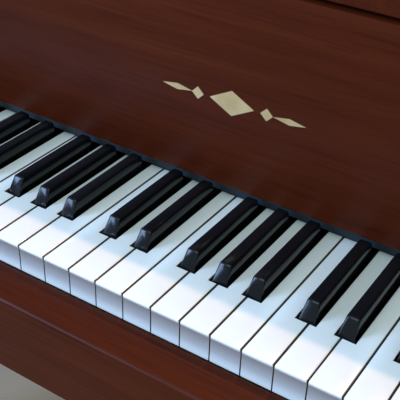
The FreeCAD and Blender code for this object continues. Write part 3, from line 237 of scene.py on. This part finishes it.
MAHOGANY = {run: mahogany(run) for run in GRAIN}
TIMBER = {run: plain_wood("maple_" + run, run, (0.42, 0.25, 0.12), (0.62, 0.42, 0.24), 0.55) for run in GRAIN}
SPRUCE = plain_wood("spruce_board", "y", (0.52, 0.33, 0.15), (0.74, 0.54, 0.3), 0.38)
# key levers: spruce painted far darker than real spruce, as painted shade in the narrow gaps between keys
SHADED_LEVER_WOOD = plain_wood("key_lever_painted_shade", "y", (0.13, 0.095, 0.065), (0.2, 0.15, 0.1), 0.6)
GILT = metal("gilt_ornament", (0.52, 0.4, 0.2), (0.66, 0.53, 0.3), 0.3, 0.42, 60, metallic=0.75)
BRONZE = metal("bronze_plate_lacquer", (0.42, 0.29, 0.1), (0.56, 0.4, 0.16), 0.32, 0.5, 40, metallic=0.7,
               depth=0.0006)
STEEL = metal("polished_steel_wire", (0.5, 0.5, 0.52), (0.72, 0.72, 0.74), 0.18, 0.3, 90)
BRASS = metal("polished_brass", (0.66, 0.46, 0.17), (0.84, 0.62, 0.27), 0.14, 0.28, 70)
COPPER = winding("copper_winding", (0.32, 0.13, 0.06), (0.66, 0.32, 0.18))
BLUE_FELT = felt("name_rail_felt", (0.008, 0.014, 0.018), (0.022, 0.036, 0.044))
WHITE_FELT = felt("wool_felt", (0.5, 0.46, 0.4), (0.72, 0.68, 0.6))
IVORY = plastic("white_key_covering", (0.84, 0.85, 0.87), (0.9, 0.9, 0.91), 0.16, 0.26, 0.3, 0.4)
EBONY = plastic("black_key_covering", (0.004, 0.004, 0.006), (0.008, 0.008, 0.01), 0.12, 0.2, 0.0, 0.24)

GRAIN_RUN = {"rim": "round", "inner_rim": "round", "lid_main": "y", "lid_flap": "y", "front_legs": "z",
             "rear_leg": "z", "lyre": "z", "lyre_braces": "z", "lid_prop": "y", "braces": "y"}
FINISHES = {"spruce": SPRUCE, "gilt": GILT, "cast_plate": BRONZE, "steel_wire": STEEL, "copper_wire": COPPER,
            "felt": BLUE_FELT, "brass": BRASS, "sharp_black": EBONY, "key_white": IVORY}


def finish_of(node):
    run = GRAIN_RUN.get(node, "x")
    if slot_of[node] == "case_mahogany":
        return MAHOGANY[run]
    if slot_of[node] == "inner_timber":
        return TIMBER[run]
    if node == "dampers":
        return WHITE_FELT
    return FINISHES[slot_of[node]]


def dress(item, *materials):
    item.data.materials.clear()
    for material in materials:
        item.data.materials.append(material)


# ---- eased copies of the joinery ---------------------------------------------------------------
def only(item):
    """Selects one object and makes it active."""
    bpy.ops.object.select_all(action="DESELECT")
    item.select_set(True)
    bpy.context.view_layer.objects.active = item


def merged_copy(node, name):
    """A copy of a CAD node with its loose triangles joined into clean faces."""
    item = frame["nodes"][node].copy()
    item.data = item.data.copy()
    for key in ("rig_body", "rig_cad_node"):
        del item[key]
    item.name = item.data.name = name
    item.parent = None
    bpy.context.scene.collection.objects.link(item)
    only(item)
    bpy.ops.object.mode_set(mode="EDIT")
    bpy.ops.mesh.select_all(action="SELECT")
    bpy.ops.mesh.remove_doubles(threshold=WELD)
    bpy.ops.mesh.dissolve_limited(angle_limit=FLAT_ANGLE)
    bpy.ops.mesh.select_all(action="DESELECT")
    bpy.ops.object.mode_set(mode="OBJECT")
    return item


def ease(item, width, steps, chosen=None, clamp=True):
    """Rounds the hard edges of an object, or only the chosen ones."""
    bevel = item.modifiers.new("eased", "BEVEL")
    bevel.width = width
    bevel.segments = steps
    bevel.use_clamp_overlap = clamp
    bevel.harden_normals = False
    if chosen:
        weights = item.data.attributes.new("bevel_weight_edge", "FLOAT", "EDGE")
        for edge in item.data.edges:
            ends = [item.data.vertices[v].co for v in edge.vertices]
            weights.data[edge.index].value = float(chosen(*ends))
        bevel.limit_method = "WEIGHT"
    else:
        bevel.limit_method = "ANGLE"
        bevel.angle_limit = HARD_ANGLE
    only(item)
    bpy.ops.object.modifier_apply(modifier=bevel.name)
    bpy.ops.object.shade_smooth_by_angle(angle=SMOOTH_ANGLE)


def stand_in(item, node):
    """Puts a finished piece in the place of a CAD node, on the node's body."""
    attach(item, body_of[node])
    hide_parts(node)


KEY_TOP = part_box("key_c4")[1].z
KEY_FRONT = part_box("key_c4")[0].y
COVER = 3.0 * MM                                # thickness of the white key coverings
COVER_END = KEY_FRONT + 150.0 * MM
COVER_FRONT = 2 * MM                            # depth of the white front plates
FACING = 0.9                                    # how squarely a face must look forward to be a front
KEY_EASE, SHARP_EASE, NOSE_EASE = 0.9 * MM, 1.5 * MM, 4.0 * MM
WHITE_KEYS = [node for node in frame["nodes"] if slot_of[node] == "key_white"]
BLACK_KEYS = [node for node in frame["nodes"] if slot_of[node] == "sharp_black"]


def at_top(a, b):
    """The upper edges of a white key's covering, and its two short upright corners at the front."""
    top = min(a.z, b.z) > KEY_TOP - NEAR
    corner = max(a.z, b.z) > KEY_TOP - NEAR and max(a.y, b.y) < KEY_FRONT + NEAR
    return top or corner


def on_crest(a, b):
    """The edges round the top of a black key, and those that run down from it."""
    return max(a.z, b.z) > KEY_TOP + 1.0 * MM


def cover_faces(item, index, covered):
    """Gives the chosen faces another of the object's materials."""
    for face in item.data.polygons:
        if covered(face):
            face.material_index = index


def above_lever(face):
    return face.center.z > KEY_TOP - COVER - NEAR / 2


def on_white_cover(face):
    """The covering on top of a white key as far as its end, and its front plate."""
    top = above_lever(face) and face.center.y < COVER_END + NEAR
    front = face.normal.y < -FACING and face.center.y < KEY_FRONT + COVER_FRONT
    return top or front


# the key levers get the dark lever wood: painted shade in the gaps between keys, not the wood's own colour
for node in WHITE_KEYS:
    key = merged_copy(node, node + "_made")
    dress(key, SHADED_LEVER_WOOD, IVORY)
    cover_faces(key, 1, on_white_cover)
    ease(key, KEY_EASE, 3, at_top, clamp=False)
    stand_in(key, node)

for node in BLACK_KEYS:
    key = merged_copy(node, node + "_made")
    dress(key, SHADED_LEVER_WOOD, EBONY)
    cover_faces(key, 1, above_lever)
    ease(key, SHARP_EASE, 4, on_crest, clamp=False)
    stand_in(key, node)

# edge radii in millimetres
EASED = {"rim": 2.0, "key_blocks": 1.5, "fallboard": 1.5, "lid_main": 2.5, "lid_flap": 2.5,
         "front_legs": 2.0, "rear_leg": 2.0, "lyre": 1.5, "music_desk": 1.5, "desk_shelf": 1.0}
for node, width in EASED.items():
    piece = merged_copy(node, node + "_made")
    dress(piece, finish_of(node))
    ease(piece, width * MM, 3)
    stand_in(piece, node)

slip_low, slip_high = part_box("key_slip")


def slip_nose(a, b):
    """The long upper edge of the key slip that faces the player."""
    return min(a.z, b.z) > slip_high.z - NEAR and max(a.y, b.y) < slip_low.y + NEAR


slip = merged_copy("key_slip", "key_slip_made")
dress(slip, finish_of("key_slip"))
ease(slip, NOSE_EASE, 5, slip_nose, clamp=False)
stand_in(slip, "key_slip")

for node, item in frame["nodes"].items():
    dress(item, finish_of(node))


# ---- floor, light and camera -------------------------------------------------------------------
FLOOR_SIZE = 60
ROOM_LIGHT, ROOM_COLOUR = 0.5, (0.77, 0.98, 1.0, 1)
SUN_ENERGY, SUN_SPREAD, SUN_COLOUR = 1.3, math.radians(1.8), (1.0, 0.54, 0.3)
SUN_RISE = Vector((0.0, 85.5, 185.0))           # toward the light, over the lid from behind
AZIMUTH, ELEVATION, ROLL = math.radians(-32.02), math.radians(-33.45), math.radians(2.28)
EYE = Vector((0.2888, KEY_FRONT - 0.3666, KEY_TOP + 0.3854))
LENS, SENSOR, CLIP_START = 79.6, 36.0, 0.02

bpy.ops.object.select_all(action="DESELECT")
bpy.ops.mesh.primitive_plane_add(size=FLOOR_SIZE, location=(0, 0, 0))
floor = bpy.context.object
floor.name = "floor"
pale, tree, shader = finish("pale_floor", Roughness=0.7, Specular_IOR_Level=0.2)
clouds = noise(tree, spread(tree, (1, 1, 1)), 5, 3)
tree.links.new(ramp(tree, clouds, (0.3, (0.47, 0.36, 0.26)), (0.7, (0.49, 0.378, 0.275))),
               shader.inputs["Base Color"])
dress(floor, pale)

world = bpy.data.worlds.new("studio")
world.use_nodes = True
world.node_tree.nodes["Background"].inputs["Color"].default_value = ROOM_COLOUR
world.node_tree.nodes["Background"].inputs["Strength"].default_value = ROOM_LIGHT
bpy.context.scene.world = world

bpy.ops.object.light_add(type="SUN", location=(0, 2, 4))
sun = bpy.context.object
sun.data.energy = SUN_ENERGY
sun.data.angle = SUN_SPREAD
sun.data.color = SUN_COLOUR
sun.rotation_euler = SUN_RISE.to_track_quat("Z", "Y").to_euler()

KEYBOARD = Vector((0, KEY_FRONT, KEY_TOP))


def soft_light(name, place, size, energy, colour):
    """A square panel of light at a place counted from the keyboard, and facing it."""
    bpy.ops.object.light_add(type="AREA", location=KEYBOARD + Vector(place))
    light = bpy.context.object
    light.name = name
    light.data.shape = "SQUARE"
    light.data.size = size
    light.data.energy = energy
    light.data.color = colour
    light.rotation_euler = Vector(place).to_track_quat("Z", "Y").to_euler()


soft_light("window", (-2.0, -2.0, 1.2), 1.2, 100, (0.39, 0.58, 1.0))
soft_light("overhead", (0.0, -1.32, 1.76), 1.5, 24, (0.75, 0.97, 1.0))

look = Vector((math.cos(ELEVATION) * math.sin(AZIMUTH), math.cos(ELEVATION) * math.cos(AZIMUTH),
               math.sin(ELEVATION)))
right = look.cross(Vector((0, 0, 1))).normalized()
up = right.cross(look)
right, up = (math.cos(ROLL) * right + math.sin(ROLL) * up, math.cos(ROLL) * up - math.sin(ROLL) * right)
bpy.ops.object.camera_add()
camera = bpy.context.object
camera.data.sensor_width = SENSOR
camera.data.lens = LENS
camera.data.clip_start = CLIP_START
facing = Matrix((right, up, -look)).transposed().to_quaternion()
camera.matrix_world = Matrix.LocRotScale(EYE, facing, None)
bpy.context.scene.camera = camera

bpy.context.scene.view_settings.view_transform = "Standard"
